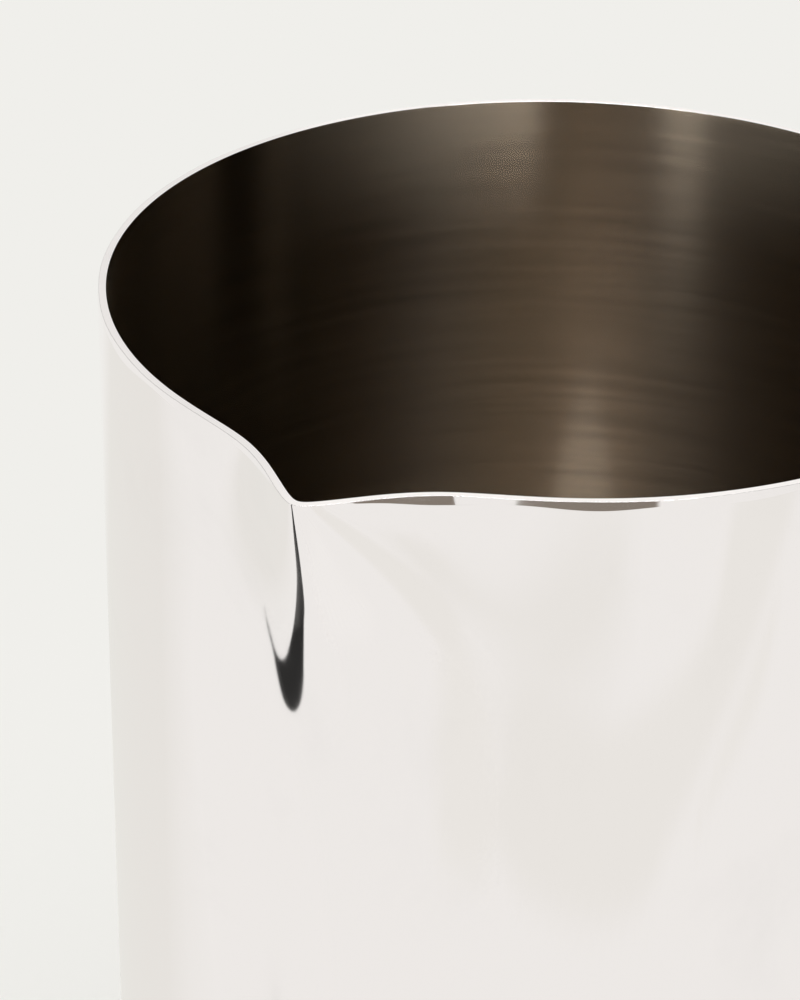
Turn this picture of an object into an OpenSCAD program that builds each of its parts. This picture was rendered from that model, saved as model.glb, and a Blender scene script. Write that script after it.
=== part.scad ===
/* [Body] */
// Outside diameter of the round wall
body_d = 96; // [90:0.5:104]
// Height from the table to the rim
body_h = 165; // [150:1:190]
// Thickness of the sheet
wall_t = 0.9; // [0.8:0.05:1.2]
// Broken edge round the foot
foot_chamfer = 0.4; // [0.2:0.1:0.6]

/* [Pouring lip] */
// How far the tip stands out beyond the round wall
lip_reach = 7.8; // [6:0.1:9]
// Height of the pressed stretch, down from the rim
lip_drop = 34; // [30:0.5:42]
// Angle between the lip's axis and one flank, seen from above
lip_half_angle = 46; // [42:0.5:52]
// Radius of the fold at the tip, inside
lip_tip_r = 0.9; // [0.6:0.1:1.5]
// How much the fold's radius grows down to where the lip dies away
lip_soften = 19; // [12:0.5:24]
// Width of the soft blend between a flank and the round wall
lip_blend = 6; // [4:0.25:7]
// Bend of the lip's crest: 1 is a straight slant, less bulges, more flares out at the rim
lip_bend = 0.8; // [0.7:0.05:1.4]

/* [Base] */
// Thickness of the base plate
base_t = 1.2; // [1:0.1:2]
// Leg of the seam weld in the corner inside
base_leg = 1.5; // [1:0.1:2.5]

/* [Handle] */
// Width of the flat bar
handle_w = 16; // [12:0.5:22]
// Thickness of the flat bar
handle_t = 4; // [3:0.25:5]
// Clear depth of the finger gap, from the wall to the bar
finger_gap = 33; // [28:0.5:42]
// Clear height of the finger gap, between the two arms
finger_h = 86; // [75:1:100]
// Inside radius of the bar's two bends
bend_r = 14; // [10:0.5:18]
// From the rim down to the top of the upper arm
handle_drop = 22; // [15:0.5:30]
// Leg of the weld round the end of each arm
weld_leg = 1.5; // [1:0.1:3]

/* [Smoothness] */
// Columns of facets across the lip
lip_columns = 44; // [32:2:60]
// Rows of facets down the lip
lip_rows = 16; // [12:1:24]

/* [Hidden] */
$fn = 96;

// How far a cut runs past the solid that it cuts
overrun = 1;
// How deep the lip's plain stretches lie under the round surfaces that they run into
lip_inset = 0.06;
// How closely the columns crowd towards the fold: 1 is evenly spaced
column_crowding = 1.8;

outer_r = body_d / 2;
inner_r = outer_r - wall_t;

// How far a flank draws in for each millimetre to the side
flank_slope = 1 / tan(lip_half_angle);
// The flank passes closest to the axis at this angle, where the blend is long over
lip_span = 90 - lip_half_angle;
lip_foot = body_h - lip_drop;

bend_mid_r = bend_r + handle_t / 2;
grip_x = outer_r + finger_gap + handle_t / 2;
upper_arm_z = body_h - handle_drop - handle_t / 2;
lower_arm_z = upper_arm_z - finger_h - handle_t;
// Where the arm's long edges meet the round wall
arm_edge_x = sqrt(outer_r * outer_r - handle_w * handle_w / 4);

function clamp01(value) = min(max(value, 0), 1);

// Height as a share of the pressed stretch: 0 at its foot, 1 at the rim
function lip_share(z) = clamp01((z - lip_foot) / lip_drop);

// Radius of the fold's outline constant at a height, for a surface that lies "grow" outside the inner one
function fold_size(z, grow) =
    flank_slope * (lip_tip_r + lip_soften * (1 - lip_share(z)))
    + grow * (sqrt(1 + flank_slope * flank_slope) - 1) / flank_slope;

// Distance of the crest from the axis at a height
function crest_r(z, grow) =
    let (hidden_r = inner_r + grow - lip_inset - lip_blend,
         rim_r = inner_r + grow + lip_reach)
    hidden_r + (rim_r - hidden_r) * pow(lip_share(z), lip_bend);

// Two straight flanks joined by a round fold, as a distance from the axis
function fold_r(angle, z, grow) =
    let (crest = crest_r(z, grow),
         fold = fold_size(z, grow))
    (crest + flank_slope * fold)
    / (cos(angle) + flank_slope * sqrt(pow(sin(angle), 2) + pow(fold / crest, 2)));

// The larger of two distances, with a smooth passage between them
function smooth_max(a, b) =
    max(a, b) + pow(max(lip_blend - abs(a - b), 0), 3) / (6 * lip_blend * lip_blend);

function lip_r(angle, z, grow) = smooth_max(fold_r(angle, z, grow), inner_r + grow - lip_inset);

function column_angle(column) =
    let (place = 2 * column / lip_columns - 1)
    lip_span * sign(place) * pow(abs(place), column_crowding);

function row_z(row) = row > lip_rows ? body_h + overrun : lip_foot + lip_drop * row / lip_rows;

// The space inside one surface of the lip, as a wedge from the axis out to that surface
module lip_wedge(grow) {
    rows = lip_rows + 1;
    stride = lip_columns + 2;
    points = [
        for (row = [0 : rows]) each [
            [0, 0, row_z(row)],
            for (column = [0 : lip_columns])
                let (angle = column_angle(column),
                     r = lip_r(angle, row_z(row), grow))
                [r * cos(angle), r * sin(angle), row_z(row)]
        ]
    ];
    skin = [
        for (row = [0 : rows - 1], column = [1 : lip_columns])
            let (a = row * stride + column, b = a + 1, c = a + stride, d = c + 1)
            each [[a, c, d], [a, d, b]]
    ];
    sides = [
        for (row = [0 : rows - 1])
            let (axis = row * stride, first = axis + 1, last = axis + lip_columns + 1)
            each [
                [axis, axis + stride, first + stride, first],
                [axis, last, last + stride, axis + stride]
            ]
    ];
    caps = [
        for (column = [1 : lip_columns])
            let (top = rows * stride)
            each [[0, column, column + 1], [top, top + column + 1, top + column]]
    ];
    polyhedron(points = points, faces = concat(skin, sides, caps));
}

module body_wall() {
    color("silver")
    difference() {
        union() {
            cylinder(h = foot_chamfer, r1 = outer_r - foot_chamfer, r2 = outer_r);
            translate([0, 0, foot_chamfer])
                cylinder(h = body_h - foot_chamfer + overrun, r = outer_r);
            lip_wedge(wall_t);
        }
        translate([0, 0, -overrun])
            cylinder(h = body_h + 3 * overrun, r = inner_r);
        lip_wedge(0);
        translate([0, 0, body_h])
            cylinder(h = 3 * overrun, r = outer_r + 2 * lip_reach);
    }
}

module base_plate() {
    color("gainsboro")
    cylinder(h = base_t, r = inner_r);
}

module base_weld() {
    color("darkgray")
    rotate_extrude()
        polygon([
            [inner_r, base_t],
            [inner_r, base_t + base_leg],
            [inner_r - base_leg, base_t]
        ]);
}

// Cross-section of the flat bar, grown all round: thickness along X, width along Y
module bar_section(grow) {
    half_t = handle_t / 2 + grow;
    flat = handle_w - handle_t;
    square([2 * half_t, flat], center = true);
    for (side = [-1, 1])
        translate([0, side * flat / 2])
            circle(r = half_t);
}

// A straight run towards the handle's side, from one distance off the axis to another
module arm_run(z, from_x, to_x, grow) {
    translate([-to_x, 0, z])
        rotate([0, 90, 0])
            linear_extrude(to_x - from_x)
                bar_section(grow);
}

module arm(z) {
    difference() {
        arm_run(z, arm_edge_x - overrun, grip_x - bend_mid_r, 0);
        translate([0, 0, z])
            cylinder(h = 2 * handle_t, r = outer_r, center = true);
    }
}

module bend(z, turn) {
    translate([bend_mid_r - grip_x, 0, z])
        rotate([90, 0, 0])
            rotate([0, 0, turn])
                rotate_extrude(angle = 90)
                    translate([bend_mid_r, 0])
                        bar_section(0);
}

module handle_bar() {
    color("silver")
    union() {
        arm(upper_arm_z);
        bend(upper_arm_z - bend_mid_r, 90);
        translate([-grip_x, 0, lower_arm_z + bend_mid_r])
            linear_extrude(upper_arm_z - lower_arm_z - 2 * bend_mid_r)
                bar_section(0);
        bend(lower_arm_z + bend_mid_r, 180);
        arm(lower_arm_z);
    }
}

// A collar that fills the corner between the wall and an arm
module arm_weld(z) {
    weld_h = 2 * (handle_t + 2 * weld_leg);
    difference() {
        intersection() {
            arm_run(z, 0, grip_x - bend_mid_r, weld_leg);
            translate([0, 0, z])
                cylinder(h = weld_h, r = outer_r + weld_leg, center = true);
        }
        translate([0, 0, z])
            cylinder(h = 2 * weld_h, r = outer_r, center = true);
        arm_run(z, 0, grip_x, 0);
    }
}

module upper_weld() {
    color("darkgray")
    arm_weld(upper_arm_z);
}

module lower_weld() {
    color("darkgray")
    arm_weld(lower_arm_z);
}

body_wall();
base_plate();
base_weld();
handle_bar();
upper_weld();
lower_weld();
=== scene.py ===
"""Dresses a straight-sided steel jug: bright polished outside, satin inside, pressed pouring lip.

Every piece is a surface worked out as whole arrays, in metres and in the frame's own axes:
+Z up from the table, +X towards the pouring lip, the handle on the -X side.
"""

import math

import bmesh
import bpy
import numpy as np
from bpy.props import FloatProperty
from bpy.props import FloatVectorProperty
from bpy.props import PointerProperty
from mathutils import Matrix
from mathutils import Vector


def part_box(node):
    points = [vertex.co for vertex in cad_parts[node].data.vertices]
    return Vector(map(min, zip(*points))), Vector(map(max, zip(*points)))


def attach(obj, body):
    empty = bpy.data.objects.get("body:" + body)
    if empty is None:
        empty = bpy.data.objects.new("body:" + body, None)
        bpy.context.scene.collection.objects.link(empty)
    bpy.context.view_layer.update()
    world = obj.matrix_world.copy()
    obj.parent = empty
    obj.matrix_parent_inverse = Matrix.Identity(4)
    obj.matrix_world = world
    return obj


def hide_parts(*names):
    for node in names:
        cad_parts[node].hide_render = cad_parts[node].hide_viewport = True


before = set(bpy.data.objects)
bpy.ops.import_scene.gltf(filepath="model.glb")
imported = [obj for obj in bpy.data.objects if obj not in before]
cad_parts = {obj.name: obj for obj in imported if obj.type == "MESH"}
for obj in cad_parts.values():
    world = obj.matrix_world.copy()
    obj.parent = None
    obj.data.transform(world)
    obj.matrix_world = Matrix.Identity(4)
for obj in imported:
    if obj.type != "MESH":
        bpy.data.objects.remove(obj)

bl_info = {
    "name": "Steel jug",
    "version": (1, 0, 0),
    "blender": (4, 5, 0),
    "location": "View3D > Sidebar > Jug",
    "description": "Builds the surfaces, finishes and studio of a polished steel jug",
    "category": "Object",
}

MM = 0.001
WALL_LOW, WALL_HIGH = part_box("body_wall")
BASE_LOW, BASE_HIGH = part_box("base_plate")
SEAM_LOW, SEAM_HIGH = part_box("base_weld")
BAR_LOW, BAR_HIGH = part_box("handle_bar")
UPPER_LOW, UPPER_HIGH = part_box("upper_weld")
LOWER_LOW, LOWER_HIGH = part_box("lower_weld")
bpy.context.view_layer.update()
MERGE_DISTANCE = 0.001 * MM
FRAME_HEIGHT = 36
ROOT = "root"


class JugSizes(bpy.types.PropertyGroup):
    """Sizes of the jug, taken from the frame where it states them."""

    outer_radius: FloatProperty(
        name="Outer radius",
        description="Radius of the round wall, outside",
        default=-WALL_LOW.x,
        subtype="DISTANCE",
    )
    height: FloatProperty(
        name="Height",
        description="From the table to the rim",
        default=WALL_HIGH.z,
        subtype="DISTANCE",
    )
    sheet: FloatProperty(
        name="Sheet",
        description="Thickness of the wall",
        default=0.9 * MM,
        subtype="DISTANCE",
    )
    lip_reach: FloatProperty(
        name="Lip reach",
        description="How far the tip stands out beyond the round wall",
        default=WALL_HIGH.x + WALL_LOW.x,
        subtype="DISTANCE",
    )
    lip_drop: FloatProperty(
        name="Lip drop",
        description="Height of the pressed stretch, down from the rim",
        default=34 * MM,
        subtype="DISTANCE",
    )
    lip_half_angle: FloatProperty(
        name="Lip half angle",
        description="Angle between the lip's axis and one flank, seen from above",
        default=math.radians(46),
        subtype="ANGLE",
    )
    lip_tip_radius: FloatProperty(
        name="Tip radius",
        description="Radius of the fold at the tip, inside",
        default=0.9 * MM,
        subtype="DISTANCE",
    )
    lip_soften: FloatProperty(
        name="Softening",
        description="How much the fold's radius grows down to where the lip dies away",
        default=19 * MM,
        subtype="DISTANCE",
    )
    lip_blend: FloatProperty(
        name="Blend",
        description="Width of the passage between a flank and the round wall",
        default=6 * MM,
        subtype="DISTANCE",
    )
    lip_bend: FloatProperty(
        name="Crest bend",
        description="Bend of the lip's crest: 1 is straight, less bulges",
        default=0.8,
    )
    bevel_height: FloatProperty(
        name="Rim bevel height",
        description="Mean height of the polished bevel under the rim, outside",
        default=0.7 * MM,
        subtype="DISTANCE",
    )
    bevel_tilt: FloatProperty(
        name="Rim bevel tilt",
        description="How far the bevel leans in from upright",
        default=math.radians(9.3),
        subtype="ANGLE",
    )
    crease: FloatProperty(
        name="Crease",
        description="Radius of the small passages between the bevel and its neighbours",
        default=0.008 * MM,
        subtype="DISTANCE",
    )
    edge_break: FloatProperty(
        name="Broken edge",
        description="Radius of the small broken edges at the rim's inside and the foot",
        default=0.06 * MM,
        subtype="DISTANCE",
    )
    foot_round: FloatProperty(
        name="Foot rounding",
        description="Radius of the outer edge at the foot",
        default=0.4 * MM,
        subtype="DISTANCE",
    )
    base_recess: FloatProperty(
        name="Base recess",
        description="How deep the base plate's middle is pressed in",
        default=0.4 * MM,
        subtype="DISTANCE",
    )
    bend_radius: FloatProperty(
        name="Bend radius",
        description="Inside radius of the handle's two bends",
        default=14 * MM,
        subtype="DISTANCE",
    )
    bar_thickness: FloatProperty(
        name="Bar thickness",
        description="Thickness of the handle's flat bar",
        default=4 * MM,
        subtype="DISTANCE",
    )


class JugFinishes(bpy.types.PropertyGroup):
    """Colours and finish of the steel."""

    polished_tint: FloatVectorProperty(
        name="Polished steel",
        description="Colour of the polished outside",
        default=(0.971, 0.942, 0.949),
        subtype="COLOR",
        min=0,
        max=1,
    )
    satin_tint: FloatVectorProperty(
        name="Satin steel",
        description="Colour of the brushed inside",
        default=(0.532, 0.452, 0.357),
        subtype="COLOR",
        min=0,
        max=1,
    )
    weld_tint: FloatVectorProperty(
        name="Weld",
        description="Colour of the ground welds",
        default=(0.72, 0.69, 0.66),
        subtype="COLOR",
        min=0,
        max=1,
    )
    polished_roughness: FloatProperty(
        name="Polished roughness",
        description="Roughness of the polished outside where nobody has touched it",
        default=0.05,
        min=0,
        max=1,
    )
    satin_roughness: FloatProperty(
        name="Satin roughness",
        description="Roughness of the brushed inside",
        default=0.27,
        min=0,
        max=1,
    )
    weld_roughness: FloatProperty(
        name="Weld roughness",
        description="Roughness of the handle's ground welds",
        default=0.22,
        min=0,
        max=1,
    )


class StudioSettings(bpy.types.PropertyGroup):
    """Camera, floor and light."""

    camera_distance: FloatProperty(
        name="Camera distance",
        description="From the jug's axis to the camera, level",
        default=327.6 * MM,
        subtype="DISTANCE",
    )
    camera_height: FloatProperty(
        name="Camera height",
        description="Height of the camera above the table",
        default=317.65 * MM,
        subtype="DISTANCE",
    )
    camera_azimuth: FloatProperty(
        name="Camera azimuth",
        description="Direction of the camera from the axis, turned from the lip",
        default=math.radians(25.43),
        subtype="ANGLE",
    )
    camera_heading: FloatProperty(
        name="Camera heading",
        description="Direction in which the camera looks, seen from above",
        default=math.radians(208.4),
        subtype="ANGLE",
    )
    camera_pitch: FloatProperty(
        name="Camera pitch",
        description="How far the camera looks down",
        default=math.radians(28.66),
        subtype="ANGLE",
    )
    camera_roll: FloatProperty(
        name="Camera roll",
        description="How far the camera is turned about its own axis",
        default=math.radians(-0.68),
        subtype="ANGLE",
    )
    lens: FloatProperty(
        name="Lens",
        description="Focal length, in millimetres like the frame's height",
        default=127.08,
    )
    backdrop: FloatVectorProperty(
        name="Backdrop",
        description="Colour of the floor and of all that lies behind it",
        default=(0.871, 0.863, 0.831),
        subtype="COLOR",
        min=0,
        max=1,
    )
    screen: FloatVectorProperty(
        name="Screen",
        description="Colour of the dark screens that the rim's bevel mirrors",
        default=(0.226, 0.195, 0.161),
        subtype="COLOR",
        min=0,
        max=1,
    )
    floor_radius: FloatProperty(
        name="Floor radius",
        description="Radius of the round floor",
        default=4.0,
        subtype="DISTANCE",
    )
    dome: FloatProperty(
        name="Dark dome",
        description="Brightness of the room above the lit walls, in mirrored light",
        default=0.002,
    )
    right_wall: FloatProperty(
        name="Right wall",
        description="Brightness of the lit wall on the camera's right, in mirrored light",
        default=6.2,
    )
    left_wall: FloatProperty(
        name="Left wall",
        description="Brightness of the lit wall on the camera's left, in mirrored light",
        default=2.0,
    )
    left_window: FloatProperty(
        name="Left window",
        description="Brightness of the window in the left wall, in mirrored light",
        default=2.2,
    )
    back_wall: FloatProperty(
        name="Back wall",
        description="Brightness of the backdrop behind the jug, in mirrored light",
        default=1.12,
    )
    key_light: FloatProperty(
        name="Key light",
        description="Brightness of the small softbox overhead, on the camera's side",
        default=10.0,
    )
    top_light: FloatProperty(
        name="Top light",
        description="Brightness of the broad softbox right above the jug",
        default=8.25,
    )
    left_light: FloatProperty(
        name="Left light",
        description="Brightness of the softbox overhead on the camera's left",
        default=4.4,
    )
    right_light: FloatProperty(
        name="Right light",
        description="Brightness of the softbox overhead on the camera's right",
        default=3.5,
    )
    glow: FloatProperty(
        name="Glow",
        description="Brightness of the narrow upright lamp inside the jug",
        default=0.15,
    )
    fill: FloatProperty(
        name="Fill",
        description="Strength of the even light on matt surfaces",
        default=1.95,
    )
    soft_sun: FloatProperty(
        name="Soft sun",
        description="Strength of the softly directed light on matt surfaces",
        default=1.36,
    )


def smooth_max(a, b, width):
    """The larger of two distances, with a cubic passage where they differ by less than width."""
    near = np.clip(width - np.abs(a - b), 0, None)
    return np.maximum(a, b) + near ** 3 / (6 * width ** 2)


def wall_radius(sizes, angle, height, grow):
    """Distance of the wall from the axis, for a surface that lies grow outside the inner one.

    Two straight flanks meet in a round fold, drawn as a hyperbola in polar form. The fold's crest
    comes in and its radius grows from the rim down, and the round wall blends into the flanks.
    """
    slope = 1 / math.tan(sizes.lip_half_angle)
    round_r = sizes.outer_radius - sizes.sheet + grow
    share = np.clip((height - sizes.height + sizes.lip_drop) / sizes.lip_drop, 0, 1)
    fold = slope * (sizes.lip_tip_radius + sizes.lip_soften * (1 - share))
    fold = fold + grow * (math.hypot(1, slope) - 1) / slope
    hidden_r = round_r - sizes.lip_blend
    crest = hidden_r + (round_r + sizes.lip_reach - hidden_r) * share ** sizes.lip_bend
    turn = np.clip(np.abs(angle), 0, math.atan(slope))
    flank = (crest + slope * fold) / (
        np.cos(turn) + slope * np.sqrt(np.sin(turn) ** 2 + (fold / crest) ** 2)
    )
    return smooth_max(flank, round_r, sizes.lip_blend)


def mesh_from_grid(name, points, wrap_rows=False, wrap_columns=True, caps=False, mask=None):
    """A piece from a grid of points, rows by columns by 3, closed round its rows or columns.

    Caps close its open ends. A mask gives each point a number, kept as a point attribute.
    """
    rows, columns = points.shape[:2]
    index = np.arange(rows * columns).reshape(rows, columns)
    if wrap_rows:
        index = np.vstack([index, index[:1]])
    if wrap_columns:
        index = np.hstack([index, index[:, :1]])
    low, high = index[:-1], index[1:]
    faces = np.stack([low[:, :-1], low[:, 1:], high[:, 1:], high[:, :-1]], -1).reshape(-1, 4)
    mesh = bpy.data.meshes.new(name)
    mesh.vertices.add(rows * columns)
    mesh.vertices.foreach_set("co", points.astype(np.float32).ravel())
    mesh.loops.add(faces.size)
    mesh.loops.foreach_set("vertex_index", faces.ravel())
    mesh.polygons.add(len(faces))
    mesh.polygons.foreach_set("loop_start", np.arange(0, faces.size, 4))
    mesh.update(calc_edges=True)
    mesh.validate()
    if mask is not None:
        values = np.broadcast_to(mask, (rows, columns)).astype(np.float32)
        mesh.attributes.new("mask", "FLOAT", "POINT").data.foreach_set("value", values.ravel())
    work = bmesh.new()
    work.from_mesh(mesh)
    if caps:
        bmesh.ops.holes_fill(work, edges=work.edges)
    bmesh.ops.remove_doubles(work, verts=work.verts, dist=MERGE_DISTANCE)
    bmesh.ops.recalc_face_normals(work, faces=work.faces)
    work.to_mesh(mesh)
    work.free()
    mesh.polygons.foreach_set("use_smooth", np.ones(len(mesh.polygons), dtype=bool))
    piece = bpy.data.objects.new(name, mesh)
    bpy.context.collection.objects.link(piece)
    return piece


def around(angles, radius, level):
    """Points at the given distances from the axis and heights, one column for each angle."""
    radius = np.broadcast_to(radius, (len(level), len(angles)))
    return np.stack([
        radius * np.cos(angles),
        radius * np.sin(angles),
        np.broadcast_to(level.reshape(len(level), -1), radius.shape),
    ], -1)


def crowded(count, share):
    """Angles all round, from -180 to 180 degrees, that crowd towards zero by a square law."""
    place = np.linspace(-1, 1, count, endpoint=False)
    return math.pi * (share * place + (1 - share) * place * np.abs(place))


def smooth_step(value, low, high):
    """0 below low and 1 above high, with a cubic passage."""
    share = np.clip((value - low) / (high - low), 0, 1)
    return share * share * (3 - 2 * share)


def bevel_profile(sizes, angles):
    """Height of the rim's bevel round the jug: it wavers a little and dies away at the lip's tip."""
    waves, first_crest, depth = 21, math.radians(29.6), 0.24
    tip_share = 0.08
    waver = 1 + depth * np.cos(waves * (angles - first_crest))
    near_tip = smooth_step(np.abs(angles), math.radians(0.5), math.radians(12))
    return sizes.bevel_height * waver * (tip_share + (1 - tip_share) * near_tip)


def wall_section(sizes, angles):
    """Height and grow of the wall's section once round it, for each angle.

    It runs up the outside, over the bevel and the flat rim, down the inside and back underneath.
    Close pairs of rows keep the shading flat on both sides of a crease. The number of the first
    row inside the rim's broken edge comes with it.
    """
    top, sheet, foot, edge, crease = (
        sizes.height, sizes.sheet, sizes.foot_round, sizes.edge_break, sizes.crease,
    )
    lip_foot = top - sizes.lip_drop
    round_rows, lip_rows_outside, lip_rows_inside = 14, 66, 46
    quarter = np.linspace(0, math.pi / 2, 5)[:, None]
    bevel = bevel_profile(sizes, angles)
    slant = math.tan(sizes.bevel_tilt)
    rise = np.concatenate([
        [0 * bevel],
        np.linspace(crease, bevel - 3 * crease, 4),
        [bevel - 2 * crease],
    ])
    outer_edge = sheet - slant * bevel
    flat = np.concatenate([
        [outer_edge - crease],
        np.linspace(outer_edge - 2 * crease, 2 * edge, 3),
        [np.full(len(angles), edge)],
    ])
    outside = [
        (foot * (1 - np.cos(quarter)), sheet - foot * (1 - np.sin(quarter))),
        (np.linspace(foot, lip_foot, round_rows)[1:-1, None], sheet),
        (np.linspace(lip_foot, top - bevel - 2 * crease, lip_rows_outside), sheet),
        ((top - bevel - crease)[None], sheet),
        (top - bevel + crease + rise, sheet - slant * rise),
    ]
    inside = [
        (top, flat),
        (top - edge * (1 - np.cos(quarter[1:])), edge * (1 - np.sin(quarter[1:]))),
        (np.linspace(top - 2 * edge, lip_foot, lip_rows_inside)[:, None], 0.0),
        (np.linspace(lip_foot, edge, round_rows)[1:, None], 0.0),
        (0.0, np.array([[edge], [sheet - foot - edge]])),
    ]

    def rows(part):
        """The heights and grows of one part, spread to as many rows as the longer has."""
        count = max(np.shape(value)[0] if np.ndim(value) else 1 for value in part)
        return [np.broadcast_to(value, (count, len(angles))) for value in part]

    heights, grows = (np.concatenate(side) for side in zip(*(rows(part) for part in outside + inside)))
    first_inside = sum(len(rows(part)[0]) for part in outside) + len(flat) + 1
    return heights, grows, first_inside


def build_wall(sizes):
    """The wall's section swept round the axis, with the lip's formula giving each point's radius."""
    columns, even_share = 560, 0.22
    rows_underneath = 2
    angles = crowded(columns, even_share)
    heights, grows, first_inside = wall_section(sizes, angles)
    radius = wall_radius(sizes, angles[None, :], heights, grows)
    wall = mesh_from_grid("wall", around(angles, radius, heights), wrap_rows=True)
    satin = np.zeros(len(heights), dtype=np.int32)
    satin[first_inside:-rows_underneath] = 1
    wall.data.polygons.foreach_set("material_index", np.repeat(satin, len(angles)))
    return wall


def build_base(sizes):
    """A disc spun from its section: a flat standing ring, a middle pressed up, and a dished top.

    The press is full in the middle and falls to nothing over the shoulder by a logistic curve.
    """
    shoulder_share, steepness, dish_share = 0.82, 60, 0.5
    radius = sizes.outer_radius - sizes.sheet
    place = np.linspace(0, 1, 40)
    press = 1 / (1 + np.exp((place - shoulder_share) * steepness))
    under = BASE_LOW.z + sizes.base_recess * press
    upper = BASE_HIGH.z - dish_share * sizes.base_recess * press
    reach = np.concatenate([place, place[::-1]]) * radius
    level = np.concatenate([under, upper[::-1]])
    angles = np.linspace(0, 2 * math.pi, 192, endpoint=False)
    return mesh_from_grid("base_disc", around(angles, reach[:, None], level))


def ripple(angle, count, size):
    """A weld's faint ripple: a cosine round the seam with a slower one, half as high, over it."""
    slower, lag = 0.31, 1.3
    return size * (np.cos(count * angle) + 0.5 * np.cos(slower * count * angle + lag))


def fillet_section(leg, steps):
    """A hollow fillet's section, closed along its two legs: distance out, distance up."""
    turn = np.linspace(0, math.pi / 2, steps)
    out = np.concatenate([leg * (1 - np.sin(turn)), [0.0]])
    up = np.concatenate([leg * (1 - np.cos(turn)), [0.0]])
    return out, up


def build_seam(sizes):
    """The seam bead in the inside corner: a hollow fillet spun round the axis, faintly rippled."""
    ripples, ripple_share = 140, 0.03
    leg = SEAM_HIGH.z - SEAM_LOW.z
    out, up = fillet_section(leg, 9)
    angles = np.linspace(0, 2 * math.pi, 360, endpoint=False)
    swell = 1 + ripple(angles, ripples, ripple_share)
    radius = sizes.outer_radius - sizes.sheet - out[:, None] * swell
    level = SEAM_LOW.z + np.minimum(up[:, None] * swell, leg)
    return mesh_from_grid("base_seam", around(angles, radius, level), wrap_rows=True)


def bar_outline(sizes):
    """The bar's section, two half rounds with flats between: across, through, and its normals."""
    half = sizes.bar_thickness / 2
    turn = np.linspace(-math.pi / 2, math.pi / 2, 17)
    out_across = np.concatenate([np.cos(turn), -np.cos(turn)])
    out_through = np.concatenate([np.sin(turn), -np.sin(turn)])
    centre = (BAR_HIGH.y - half) * np.repeat([1, -1], len(turn))
    return centre + half * out_across, half * out_through, out_across, out_through


def bar_path(sizes):
    """The bar's middle line in the XZ plane, from the upper arm to the lower: x, z and its turn.

    Two level arms and an upright grip are joined by two quarter rounds.
    """
    half = sizes.bar_thickness / 2
    turn_r = sizes.bend_radius + half
    grip_x = BAR_LOW.x + half
    top, bottom = BAR_HIGH.z - half, BAR_LOW.z + half
    arm = np.linspace(-sizes.outer_radius, grip_x + turn_r, 8)[:-1]
    grip = np.linspace(top - turn_r, bottom + turn_r, 26)[1:-1]
    quarter = np.linspace(0, math.pi / 2, 22)
    x = np.concatenate([
        arm,
        grip_x + turn_r - turn_r * np.sin(quarter),
        np.full(len(grip), grip_x),
        grip_x + turn_r - turn_r * np.cos(quarter),
        arm[::-1],
    ])
    z = np.concatenate([
        np.full(len(arm), top),
        top - turn_r + turn_r * np.cos(quarter),
        grip,
        bottom + turn_r - turn_r * np.sin(quarter),
        np.full(len(arm), bottom),
    ])
    turn = np.concatenate([
        np.zeros(len(arm)),
        quarter,
        np.full(len(grip), math.pi / 2),
        math.pi / 2 + quarter,
        np.full(len(arm), math.pi),
    ])
    return x, z, turn


def wall_front(sizes, across):
    """Where the round wall stands at a distance across from the handle's middle plane."""
    return -np.sqrt(sizes.outer_radius ** 2 - across ** 2)


def build_handle(sizes):
    """The bar's outline carried along its bent path, with both ends cut to the round wall."""
    across, through = bar_outline(sizes)[:2]
    x, z, turn = bar_path(sizes)
    px = x[:, None] - through * np.sin(turn)[:, None]
    pz = z[:, None] + through * np.cos(turn)[:, None]
    py = np.broadcast_to(across, px.shape)
    points = np.stack([px, py, pz], -1)
    points[[0, -1], :, 0] = wall_front(sizes, across)
    return mesh_from_grid("handle", points, caps=True)


def build_arm_weld(sizes, name, low, high):
    """A hollow fillet carried round the arm where it meets the round wall, faintly rippled."""
    ripples, ripple_share = 16, 0.04
    leg = (high.z - low.z - sizes.bar_thickness) / 2
    out, up = fillet_section(leg, 9)
    across, through, out_across, out_through = bar_outline(sizes)
    place = np.linspace(0, 2 * math.pi, len(across), endpoint=False)
    swell = 1 + ripple(place, ripples, ripple_share)
    out = out[:, None] * np.minimum(swell, 1)
    py = across + out * out_across
    pz = (low.z + high.z) / 2 + through + out * out_through
    px = wall_front(sizes, py) - up[:, None] * swell
    return mesh_from_grid(name, np.stack([px, py, pz], -1), wrap_rows=True)


def add_node(tree, kind, settings=None, values=None):
    """Adds one node, sets its own settings, and sets or links its inputs by name."""
    node = tree.nodes.new(kind)
    for key, value in (settings or {}).items():
        setattr(node, key, value)
    for key, value in (values or {}).items():
        if isinstance(value, bpy.types.NodeSocket):
            tree.links.new(value, node.inputs[key])
        else:
            node.inputs[key].default_value = value
    return node


def new_group(name, inputs, outputs):
    """An empty shader group with named sockets, each given as name, kind and default."""
    tree = bpy.data.node_groups.new(name, "ShaderNodeTree")
    for label, kind, default in inputs:
        socket = tree.interface.new_socket(label, in_out="INPUT", socket_type=kind)
        if default is not None:
            socket.default_value = default
    for label, kind in outputs:
        tree.interface.new_socket(label, in_out="OUTPUT", socket_type=kind)
    return tree, tree.nodes.new("NodeGroupInput"), tree.nodes.new("NodeGroupOutput")


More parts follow.
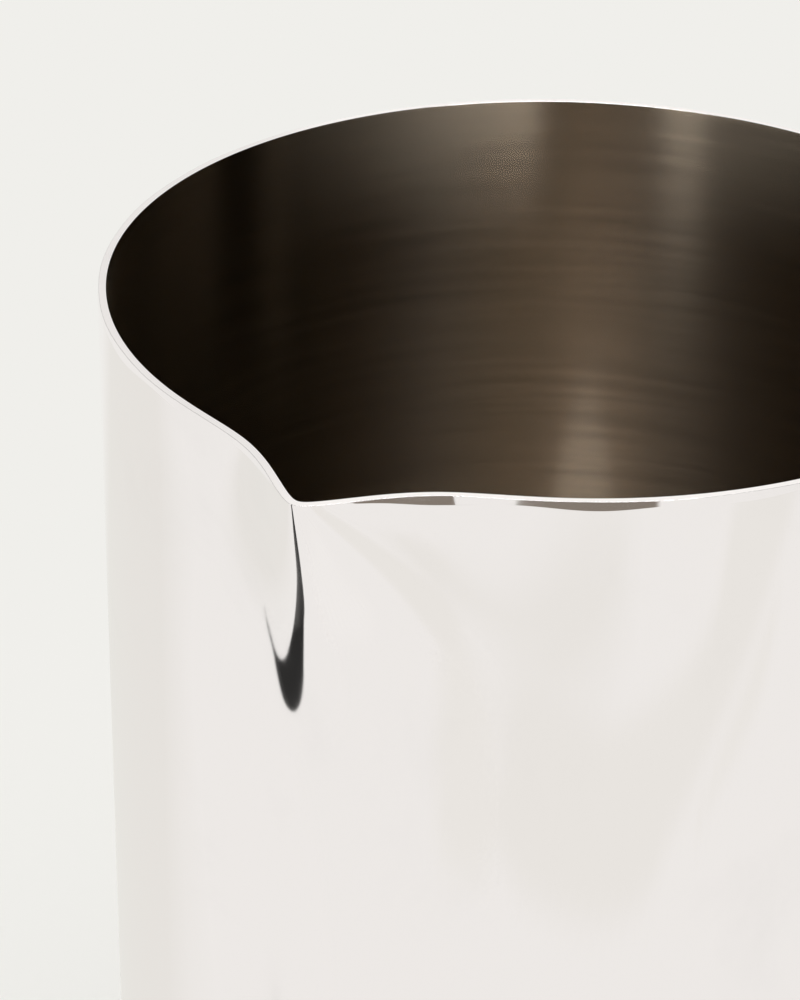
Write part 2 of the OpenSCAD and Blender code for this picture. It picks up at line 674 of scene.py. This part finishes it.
def touch_marks_group():
    """Faint touch marks and sheet waves: a mask of dull patches, and a height of slow waves."""
    tree, given, made = new_group(
        "Touch marks",
        [("Vector", "NodeSocketVector", None), ("Patch scale", "NodeSocketFloat", 40.0)],
        [("Dull", "NodeSocketFloat"), ("Waves", "NodeSocketFloat")],
    )
    patch = add_node(tree, "ShaderNodeTexNoise", values={
        "Vector": given.outputs["Vector"],
        "Scale": given.outputs["Patch scale"],
        "Detail": 5.0,
        "Roughness": 0.62,
        "Distortion": 0.4,
    })
    dull = add_node(tree, "ShaderNodeMapRange", {"interpolation_type": "SMOOTHSTEP"}, {
        "Value": patch.outputs["Fac"],
        "From Min": 0.5,
        "From Max": 0.75,
    })
    waves = add_node(tree, "ShaderNodeTexNoise", values={
        "Vector": given.outputs["Vector"],
        "Scale": 28.0,
        "Detail": 1.0,
    })
    tree.links.new(dull.outputs["Result"], made.inputs["Dull"])
    tree.links.new(waves.outputs["Fac"], made.inputs["Waves"])
    return tree


def brushing_group():
    """Long soft parallel streaks, as one value between 0 and 1."""
    tree, given, made = new_group(
        "Brushing",
        [("Vector", "NodeSocketVector", None)],
        [("Streaks", "NodeSocketFloat")],
    )
    streaks = add_node(tree, "ShaderNodeTexNoise", values={
        "Vector": given.outputs["Vector"],
        "Scale": 1.0,
        "Detail": 1.5,
        "Roughness": 0.5,
    })
    tree.links.new(streaks.outputs["Fac"], made.inputs["Streaks"])
    return tree


def new_material(name):
    """A material with only its Principled shader and output, and Object coordinates ready to use."""
    material = bpy.data.materials.new(name)
    material.use_nodes = True
    tree = material.node_tree
    shader = tree.nodes["Principled BSDF"]
    place = tree.nodes.new("ShaderNodeTexCoord").outputs["Object"]
    return material, tree, shader, place


def polished_steel(finishes, marks):
    """Bright polished sheet: slow waves in the reflection, duller where it has been touched."""
    touched_tone, touched_dulling, wave_height = 0.97, 0.05, 0.012 * MM
    material, tree, shader, place = new_material("Polished steel")
    group = add_node(tree, "ShaderNodeGroup", {"node_tree": marks}, {"Vector": place})
    tint = add_node(tree, "ShaderNodeMix", {"data_type": "RGBA"}, {
        "Factor": group.outputs["Dull"],
        "A": (*finishes.polished_tint, 1),
        "B": (*(touched_tone * v for v in finishes.polished_tint), 1),
    })
    rough = add_node(tree, "ShaderNodeMapRange", values={
        "Value": group.outputs["Dull"],
        "To Min": finishes.polished_roughness,
        "To Max": finishes.polished_roughness + touched_dulling,
    })
    bump = add_node(tree, "ShaderNodeBump", values={
        "Strength": 1.0,
        "Distance": wave_height,
        "Height": group.outputs["Waves"],
    })
    shader.inputs["Metallic"].default_value = 1
    tree.links.new(tint.outputs["Result"], shader.inputs["Base Color"])
    tree.links.new(rough.outputs["Result"], shader.inputs["Roughness"])
    tree.links.new(bump.outputs["Normal"], shader.inputs["Normal"])
    return material


def satin_material(name, tint, roughness, brushing, stretch, flat=False):
    """Brushed steel, whose tone changes from streak to streak.

    The stretch says how many streaks go to a metre along each axis, so that on the wall they lie
    level. On a flat disc they are laid along circles, from the distance to the axis.
    """
    contrast = 0.26
    material, tree, shader, place = new_material(name)
    if flat:
        split = add_node(tree, "ShaderNodeSeparateXYZ", values={"Vector": place})
        ring = add_node(tree, "ShaderNodeVectorMath", {"operation": "LENGTH"}, {"Vector": place})
        place = add_node(tree, "ShaderNodeCombineXYZ", values={
            "X": split.outputs["X"],
            "Y": split.outputs["Y"],
            "Z": ring.outputs["Value"],
        }).outputs["Vector"]
    stretched = add_node(tree, "ShaderNodeMapping", values={"Vector": place, "Scale": stretch})
    group = add_node(tree, "ShaderNodeGroup", {"node_tree": brushing}, {
        "Vector": stretched.outputs["Vector"],
    })
    tone = add_node(tree, "ShaderNodeMix", {"data_type": "RGBA"}, {
        "Factor": group.outputs["Streaks"],
        "A": (*((1 - contrast) * v for v in tint), 1),
        "B": (*((1 + contrast) * v for v in tint), 1),
    })
    for socket, value in (
        ("Metallic", 1.0),
        ("Roughness", roughness),
        ("Anisotropic", 1.0),
        ("Anisotropic Rotation", 0.25),
    ):
        shader.inputs[socket].default_value = value
    tree.links.new(tone.outputs["Result"], shader.inputs["Base Color"])
    return material


def shared(name, maker, *values):
    """A group or material that is made once and then found by name."""
    return bpy.data.node_groups.get(name) or bpy.data.materials.get(name) or maker(*values)


def polished(context):
    """The polished finish of the outside and the handle."""
    marks = shared("Touch marks", touch_marks_group)
    return shared("Polished steel", polished_steel, context.scene.jug_finishes, marks)


def centre_texture_space(piece):
    """Centres the piece's brushing direction on the jug's axis."""
    reach = max(abs(v) for corner in piece.bound_box for v in corner[:2])
    piece.data.use_auto_texspace = False
    piece.data.texspace_location = (0, 0, WALL_HIGH.z / 2)
    piece.data.texspace_size = (reach, reach, WALL_HIGH.z / 2)


def finish_piece(piece, node, slot, *materials):
    """Gives a piece its materials, hangs it under the root and hides the node it stands for."""
    for material in materials:
        piece.data.materials.append(material)
    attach(piece, ROOT)
    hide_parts(node)


class JUG_OT_wall(bpy.types.Operator):
    """Builds the round wall with its pressed lip and cut rim"""

    bl_idname = "jug.wall"
    bl_label = "Wall and lip"

    def execute(self, context):
        sizes, finishes = context.scene.jug_sizes, context.scene.jug_finishes
        brushing = shared("Brushing", brushing_group)
        satin = satin_material(
            "Satin inside", finishes.satin_tint, finishes.satin_roughness, brushing,
            stretch=(45, 45, 900),
        )
        wall = build_wall(sizes)
        centre_texture_space(wall)
        finish_piece(wall, "body_wall", "polished_steel", polished(context), satin)
        return {"FINISHED"}


class JUG_OT_base(bpy.types.Operator):
    """Builds the base disc and the seam bead inside it"""

    bl_idname = "jug.base"
    bl_label = "Base and seam"

    def execute(self, context):
        sizes, finishes = context.scene.jug_sizes, context.scene.jug_finishes
        brushing = shared("Brushing", brushing_group)
        disc = satin_material(
            "Satin base", finishes.satin_tint, finishes.satin_roughness, brushing,
            stretch=(14, 14, 420), flat=True,
        )
        bead = satin_material(
            "Inside bead", finishes.weld_tint, finishes.satin_roughness, brushing,
            stretch=(60, 60, 600),
        )
        base = build_base(sizes)
        centre_texture_space(base)
        finish_piece(base, "base_plate", "satin_steel", disc)
        finish_piece(build_seam(sizes), "base_weld", "weld_steel", bead)
        return {"FINISHED"}


class JUG_OT_handle(bpy.types.Operator):
    """Builds the bent flat-bar handle"""

    bl_idname = "jug.handle"
    bl_label = "Handle"

    def execute(self, context):
        handle = build_handle(context.scene.jug_sizes)
        finish_piece(handle, "handle_bar", "polished_steel", polished(context))
        return {"FINISHED"}


class JUG_OT_welds(bpy.types.Operator):
    """Builds the two welds that join the handle to the wall"""

    bl_idname = "jug.welds"
    bl_label = "Handle welds"

    def execute(self, context):
        sizes, finishes = context.scene.jug_sizes, context.scene.jug_finishes
        brushing = shared("Brushing", brushing_group)
        bead = satin_material(
            "Ground weld", finishes.weld_tint, finishes.weld_roughness, brushing,
            stretch=(300, 300, 300),
        )
        for name, low, high in (
            ("upper_weld", UPPER_LOW, UPPER_HIGH),
            ("lower_weld", LOWER_LOW, LOWER_HIGH),
        ):
            finish_piece(build_arm_weld(sizes, name + "_bead", low, high), name, "weld_steel", bead)
        return {"FINISHED"}


def build_camera(context, studio):
    """Puts the camera at its distance and height, and turns it by heading, pitch and roll."""
    camera = bpy.data.objects.new("camera", bpy.data.cameras.new("camera"))
    context.collection.objects.link(camera)
    heading, pitch, roll = studio.camera_heading, studio.camera_pitch, studio.camera_roll
    ahead = Vector((
        math.cos(heading) * math.cos(pitch), math.sin(heading) * math.cos(pitch), -math.sin(pitch),
    ))
    level = Vector((math.sin(heading), -math.cos(heading), 0))
    down = ahead.cross(level)
    right = math.cos(roll) * level + math.sin(roll) * down
    down = math.cos(roll) * down - math.sin(roll) * level
    turned = Matrix((right, -down, -ahead)).transposed()
    place = Vector((
        studio.camera_distance * math.cos(studio.camera_azimuth),
        studio.camera_distance * math.sin(studio.camera_azimuth),
        studio.camera_height,
    ))
    camera.matrix_world = Matrix.Translation(place) @ turned.to_4x4()
    camera.data.sensor_width = FRAME_HEIGHT
    camera.data.lens = studio.lens
    camera.data.clip_start = 10 * MM
    camera.data.clip_end = 50
    context.scene.camera = camera


def mix_shaders(tree, share, first, second):
    """Two shaders mixed: the first where the share is 0, the second where it is 1."""
    mix = add_node(tree, "ShaderNodeMixShader", values={"Fac": share})
    tree.links.new(first, mix.inputs[1])
    tree.links.new(second, mix.inputs[2])
    return mix.outputs["Shader"]


def beyond(tree, place, centre, fade):
    """0 up to one distance from a centre, 1 past another, given together as the fade."""
    away = add_node(tree, "ShaderNodeVectorMath", {"operation": "DISTANCE"}, {0: place, 1: centre})
    return add_node(tree, "ShaderNodeMapRange", {"interpolation_type": "SMOOTHSTEP"}, {
        "Value": away.outputs["Value"],
        "From Min": fade[0],
        "From Max": fade[1],
    }).outputs["Result"]


def floor_material(studio):
    """Takes the jug's shadow nearby and evens out farther off, where it is plain light.

    Mirrored light sees it in one even tone, with a clear spot in front of the lip through which
    the hook's card shows.
    """
    shadow_fade = (100 * MM, 260 * MM)
    clear_spot, clear_fade = (118 * MM, -138 * MM, 0), (75 * MM, 90 * MM)
    material, tree, shader, place = new_material("Pale floor")
    colour = (*studio.backdrop, 1)
    shader.inputs["Base Color"].default_value = colour
    shader.inputs["Roughness"].default_value = 0.9
    shader.inputs["Specular IOR Level"].default_value = 0.0
    path = tree.nodes.new("ShaderNodeLightPath")
    clear = tree.nodes.new("ShaderNodeBsdfTransparent").outputs["BSDF"]
    even = add_node(tree, "ShaderNodeEmission", values={"Color": colour}).outputs["Emission"]
    far_off = beyond(tree, place, (0, 0, 0), shadow_fade)
    evened = product(tree, path.outputs["Is Camera Ray"], far_off)
    seen = mix_shaders(tree, evened, shader.outputs["BSDF"], even)
    mirrored = mix_shaders(tree, beyond(tree, place, clear_spot, clear_fade), clear, even)
    surface = mix_shaders(tree, path.outputs["Is Glossy Ray"], seen, mirrored)
    tree.links.new(surface, tree.nodes["Material Output"].inputs["Surface"])
    return material


def build_floor(studio):
    """A round pale floor, a little below the foot so that the two surfaces don't share a plane."""
    level, ring_shares = -0.02 * MM, np.array([0.0, 0.1, 0.4, 1.0])
    angles = np.linspace(0, 2 * math.pi, 96, endpoint=False)
    reach = ring_shares[:, None] * studio.floor_radius
    floor = mesh_from_grid("floor", around(angles, reach, np.full(len(ring_shares), level)))
    floor.data.materials.append(floor_material(studio))


def soft_window(tree, value, span):
    """1 between the span's first two values, fading over its third on both sides."""
    low, high, soft = span
    rise = add_node(tree, "ShaderNodeMapRange", {"interpolation_type": "SMOOTHSTEP"}, {
        "Value": value,
        "From Min": low - soft,
        "From Max": low + soft,
    })
    fall = add_node(tree, "ShaderNodeMapRange", {"interpolation_type": "SMOOTHSTEP"}, {
        "Value": value,
        "From Min": high - soft,
        "From Max": high + soft,
        "To Min": 1.0,
        "To Max": 0.0,
    })
    return product(tree, rise.outputs["Result"], fall.outputs["Result"])


def arithmetic(tree, operation, *values):
    """A Math node on up to two numbers or sockets."""
    node = add_node(tree, "ShaderNodeMath", {"operation": operation})
    for socket, value in zip(node.inputs, values):
        if isinstance(value, bpy.types.NodeSocket):
            tree.links.new(value, socket)
        else:
            socket.default_value = value
    return node.outputs["Value"]


def product(tree, first, *others):
    """Several numbers or sockets, multiplied."""
    for other in others:
        first = arithmetic(tree, "MULTIPLY", first, other)
    return first


def build_world(context, studio):
    """The backdrop's colour for the camera. For the rest, a dark dome over lit walls.

    The walls stand left and right of the camera, up to about ten degrees above the horizon. The
    left one has a window that reaches higher, and the right one fades with its turn. A pale
    backdrop stands behind the jug. Directions count from the camera, anticlockwise from above.
    Each span holds two limits and a softness, in degrees round the jug or as shares of a direction.
    """
    fade_start, fade_end = math.radians(12), math.radians(95)
    edge_dimming = 0.14
    world = bpy.data.worlds.new("studio")
    world.use_nodes = True
    context.scene.world = world
    tree = world.node_tree
    path = tree.nodes.new("ShaderNodeLightPath")
    place = tree.nodes.new("ShaderNodeTexCoord").outputs["Generated"]
    from_camera = add_node(tree, "ShaderNodeMapping", {"vector_type": "POINT"}, {
        "Vector": place,
        "Rotation": (0, 0, -studio.camera_azimuth),
    })
    split = add_node(tree, "ShaderNodeSeparateXYZ", values={"Vector": from_camera.outputs["Vector"]})
    climb = split.outputs["Z"]
    angle = arithmetic(tree, "ARCTAN2", split.outputs["Y"], split.outputs["X"])

    right_turn, left_turn, window_turn = (
        soft_window(tree, angle, [math.radians(v) for v in span])
        for span in ((9, 95, 4), (-62, -20, 3), (-33, -24, 3))
    )
    low_band, window_band, back_band, below = (
        soft_window(tree, climb, span)
        for span in ((-0.05, 0.18, 0.05), (-0.05, 0.36, 0.04), (0.25, 0.65, 0.08), (-2, 0, 0.01))
    )
    fade = add_node(tree, "ShaderNodeMapRange", values={
        "Value": angle,
        "From Min": fade_start,
        "From Max": fade_end,
        "To Min": 1.0,
        "To Max": 0.0,
    }).outputs["Result"]
    behind = soft_window(tree, split.outputs["X"], (-1.5, -0.5, 0.1))
    middle = soft_window(tree, split.outputs["Y"], (-0.18, 0.16, 0.02))
    left_edge = soft_window(tree, split.outputs["Y"], (-0.2, -0.078, 0.01))
    back_share = arithmetic(tree, "SUBTRACT", middle, product(tree, left_edge, edge_dimming))
    total = add_node(tree, "ShaderNodeValue").outputs["Value"]
    total.default_value = studio.dome
    for part in (
        product(tree, right_turn, fade, fade, low_band, studio.right_wall),
        product(tree, left_turn, low_band, studio.left_wall),
        product(tree, window_turn, window_band, studio.left_window),
        product(tree, behind, back_share, back_band, studio.back_wall),
        below,
    ):
        total = arithmetic(tree, "ADD", total, part)

    room = add_node(tree, "ShaderNodeVectorMath", {"operation": "SCALE"}, {
        "Vector": tuple(studio.backdrop),
        "Scale": total,
    })
    seen = add_node(tree, "ShaderNodeMix", {"data_type": "RGBA"}, {
        "Factor": path.outputs["Is Camera Ray"],
        "A": room.outputs["Vector"],
        "B": (*studio.backdrop, 1),
    })
    tree.links.new(seen.outputs["Result"], tree.nodes["Background"].inputs["Color"])


def build_area_lamp(context, name, shape, brightness, size):
    """An area lamp that matt surfaces don't see."""
    lamp = bpy.data.lights.new(name, "AREA")
    lamp.shape = shape
    lamp.size, lamp.size_y = size
    lamp.energy = brightness * math.pi * lamp.size * lamp.size_y
    holder = bpy.data.objects.new(name, lamp)
    holder.visible_diffuse = False
    context.collection.objects.link(holder)
    return holder


def build_softbox(context, name, brightness, size, zenith_angle, azimuth):
    """A level square-on softbox that hangs over the jug's rim, turned to its own azimuth."""
    hang = 1.2
    away = hang * math.tan(zenith_angle)
    softbox = build_area_lamp(context, name, "RECTANGLE", brightness, size)
    softbox.location = (away * math.cos(azimuth), away * math.sin(azimuth), WALL_HIGH.z + hang)
    softbox.rotation_euler = (0, 0, azimuth)


def build_strip_lamp(context, studio):
    """A narrow upright lamp inside the jug, facing the wall opposite the camera."""
    width, height = 5.4 * MM, 120 * MM
    reach, level, turn = 35 * MM, 63 * MM, math.radians(203.2)
    strip = build_area_lamp(context, "inner_strip", "ELLIPSE", studio.glow, (width, height))
    strip.location = (reach * math.cos(turn), reach * math.sin(turn), level)
    strip.rotation_euler = (math.pi / 2, 0, turn - math.pi / 2)
    strip.visible_camera = False


def build_lamps(context, studio):
    """Softboxes overhead and a strip inside for the metal, and two suns for matt surfaces only.

    Each softbox has its size, how far it leans off the zenith and its turn from the camera.
    """
    for name, brightness, size, lean, turn in (
        ("key_light", studio.key_light, (0.22, 0.18), 16, -26),
        ("top_light", studio.top_light, (0.5, 0.7), 5, 10),
        ("left_light", studio.left_light, (0.3, 0.3), 26, -52),
        ("right_light", studio.right_light, (0.3, 0.3), 30, 52),
    ):
        build_softbox(
            context, name, brightness, size, math.radians(lean),
            studio.camera_azimuth + math.radians(turn),
        )
    build_strip_lamp(context, studio)
    for name, strength, spread, lean in (
        ("fill", studio.fill, math.radians(150), 0.0),
        ("soft_sun", studio.soft_sun, math.radians(50), math.radians(24)),
    ):
        lamp = bpy.data.lights.new(name, "SUN")
        lamp.energy = strength
        lamp.angle = spread
        sun = bpy.data.objects.new(name, lamp)
        sun.rotation_euler = (lean, -lean, 0)
        sun.visible_glossy = False
        context.collection.objects.link(sun)


def card_material(name, colour):
    """Plain light in one colour, fading out by the card's own mask."""
    material = bpy.data.materials.new(name)
    material.use_nodes = True
    material.cycles.emission_sampling = "NONE"
    tree = material.node_tree
    tree.nodes.remove(tree.nodes["Principled BSDF"])
    light = add_node(tree, "ShaderNodeEmission", values={"Color": (*colour, 1)})
    clear = tree.nodes.new("ShaderNodeBsdfTransparent")
    mask = add_node(tree, "ShaderNodeAttribute", {"attribute_name": "mask"})
    surface = mix_shaders(tree, mask.outputs["Fac"], clear.outputs["BSDF"], light.outputs["Emission"])
    tree.links.new(surface, tree.nodes["Material Output"].inputs["Surface"])
    return material


def build_card(name, colour, points, mask):
    """A stage card from a grid of points that nothing but mirrored light sees."""
    card = mesh_from_grid(name, points, wrap_columns=False, mask=mask)
    card.data.materials.append(card_material(name, colour))
    for rays in ("camera", "diffuse", "transmission", "volume_scatter", "shadow"):
        setattr(card, "visible_" + rays, False)


def smooth_outline(points, steps=5):
    """A closed curve through the given points, as a cubic between each two of them."""
    before, start, end, after = (np.roll(np.array(points, float), k, 0) for k in (1, 0, -1, -2))
    t = np.linspace(0, 1, steps, endpoint=False)[:, None, None]
    curve = start + 0.5 * t * (
        end - before
        + t * (2 * before - 5 * start + 4 * end - after)
        + t * t * (3 * (start - end) + after - before)
    )
    return curve.transpose(1, 0, 2).reshape(-1, 2)


def inside_share(outline, x, y, soft):
    """1 inside a closed outline and 0 outside, fading over a distance of soft on each side."""
    start, end = outline, np.roll(outline, -1, 0)
    along = end - start
    px = x[..., None] - start[:, 0]
    py = y[..., None] - start[:, 1]
    share = np.clip((px * along[:, 0] + py * along[:, 1]) / (along ** 2).sum(1), 0, 1)
    distance = np.hypot(px - share * along[:, 0], py - share * along[:, 1]).min(-1)
    spans = (start[:, 1] > y[..., None]) != (end[:, 1] > y[..., None])
    rise = np.where(along[:, 1] == 0, 1, along[:, 1])
    crossed = spans & (px < along[:, 0] * py / rise)
    within = crossed.sum(-1) % 2 == 1
    return smooth_step(np.where(within, distance, -distance), -soft, soft)


def build_outline_card(name, colour, level, soft, corners):
    """A level card in one colour, cut to a smooth outline with a soft edge. Lengths in millimetres."""
    outline = smooth_outline(corners)
    step = max(soft, 2)
    low, high = outline.min(0) - 2 * step, outline.max(0) + 2 * step
    x, y = np.meshgrid(*(np.arange(first, last + step, step) for first, last in zip(low, high)))
    points = np.stack([x, y, np.full(x.shape, level)], -1) * MM
    build_card(name, colour, points, inside_share(outline, x, y, soft))


def build_cards(studio):
    """Glowing cards that nothing but mirrored light sees, for the wall to mirror: painted shadows and
    a painted glint just over the floor, and a dark hook below it.

    Each painted shadow or glint has its tone against the backdrop, its softness and its corners. They
    lie one above the other, each a small lift higher. Lengths are in millimetres.
    """
    lift = 0.1
    hook_tone, hook_level, hook_soft = 0.028, -1500, 5
    warm, plain = (1.0, 0.998, 0.98), (1.0, 1.0, 1.0)
    # Painted shadows on the floor, and one painted glint brighter than the backdrop, each a glowing
    # card.
    painted_shadows_and_glint = (
        ("painted_shadow_left", 0.93, 28, (
            (-140, -100), (30, -105), (60, -200), (60, -330), (20, -400), (-140, -400),
        )),
        ("painted_shadow_lobe", 0.955, 7, (
            (238, 56), (256, 95), (244, 128), (214, 167), (190, 202), (165, 239), (150, 270),
            (146, 320), (70, 350), (95, 290), (125, 236), (144, 188), (152, 158), (191, 104),
            (213, 72),
        )),
        ("painted_shadow_lobe_left", 0.965, 9, (
            (232, 60), (222, 45), (228, 12), (246, 2), (256, 25), (250, 60),
        )),
        ("painted_shadow_blob", 0.945, 24, ((280, 80), (300, 150), (270, 215), (235, 190), (245, 120))),
        ("painted_shadow_streak", 0.965, 6, (
            (76, 300), (84, 262), (112, 222), (126, 200), (116, 232), (100, 262),
        )),
        ("painted_glint_lip", 1.02, 5, ((160, 40), (150, 0), (135, -30), (120, -60), (100, -75), (135, -5))),
    )
    for place, (name, tone, soft, corners) in enumerate(painted_shadows_and_glint):
        tint = warm if tone < 1 else plain
        colour = [tone * v * w for v, w in zip(studio.backdrop, tint)]
        build_outline_card(name, colour, lift * (1 + place), soft, corners)
    # A painted reflection: a dark card far under the floor, seen only through the floor's clear spot,
    # puts a dark hook in the wall's mirror image.
    build_outline_card("hook", [hook_tone * v for v in studio.backdrop], hook_level, hook_soft, (
        (299, -1323), (336, -1235), (415, -1160), (470, -1175), (530, -1214), (817, -1259),
        (1076, -1305), (1335, -1397), (1471, -1519), (1388, -1621), (1077, -1672), (819, -1723),
        (562, -1835), (319, -1960), (562, -1805), (806, -1685), (880, -1601), (792, -1519),
        (560, -1445), (337, -1374),
    ))


def build_screens(studio):
    """Two dark screens before the jug that only its bevel mirrors.

    Each is a strip of an upright ring round the axis, between two turns in degrees and two heights
    in millimetres. Its mask fades in sharply at the first turn and out softly at the last.
    """
    reach, steps = 600 * MM, 24
    sharp, soft = 0.1, 0.6
    mask = [0, *[1] * steps, 0]
    for name, first, last, levels in (
        ("low_screen", 19.9, 45.3, (20, 82)),
        ("high_screen", 24.0, 56.0, (98, 162)),
    ):
        turns = np.radians([first - sharp, *np.linspace(first, last - soft, steps), last + soft])
        build_card(name, studio.screen, around(turns, reach, np.array(levels) * MM), mask)


class JUG_OT_studio(bpy.types.Operator):
    """Builds the camera, the floor and the light"""

    bl_idname = "jug.studio"
    bl_label = "Studio"

    def execute(self, context):
        studio = context.scene.jug_studio
        build_camera(context, studio)
        build_floor(studio)
        build_world(context, studio)
        build_lamps(context, studio)
        build_cards(studio)
        build_screens(studio)
        context.scene.view_settings.view_transform = "Standard"
        return {"FINISHED"}


OPERATORS = (JUG_OT_wall, JUG_OT_base, JUG_OT_handle, JUG_OT_welds, JUG_OT_studio)


class JUG_PT_panel(bpy.types.Panel):
    """Lists the jug's operators and settings in the sidebar"""

    bl_label = "Steel jug"
    bl_idname = "JUG_PT_panel"
    bl_space_type = "VIEW_3D"
    bl_region_type = "UI"
    bl_category = "Jug"

    def draw(self, context):
        for operator in OPERATORS:
            self.layout.operator(operator.bl_idname)
        for group in (context.scene.jug_sizes, context.scene.jug_finishes, context.scene.jug_studio):
            box = self.layout.box()
            for name in group.__annotations__:
                box.prop(group, name)


GROUPS = {"jug_sizes": JugSizes, "jug_finishes": JugFinishes, "jug_studio": StudioSettings}


def register():
    for kind in (*GROUPS.values(), *OPERATORS, JUG_PT_panel):
        bpy.utils.register_class(kind)
    for name, kind in GROUPS.items():
        setattr(bpy.types.Scene, name, PointerProperty(type=kind))


def unregister():
    for name in GROUPS:
        delattr(bpy.types.Scene, name)
    for kind in (JUG_PT_panel, *reversed(OPERATORS), *reversed(GROUPS.values())):
        bpy.utils.unregister_class(kind)


def main():
    register()
    bpy.ops.jug.wall()
    bpy.ops.jug.base()
    bpy.ops.jug.handle()
    bpy.ops.jug.welds()
    bpy.ops.jug.studio()


if __name__ == "__main__":
    main()
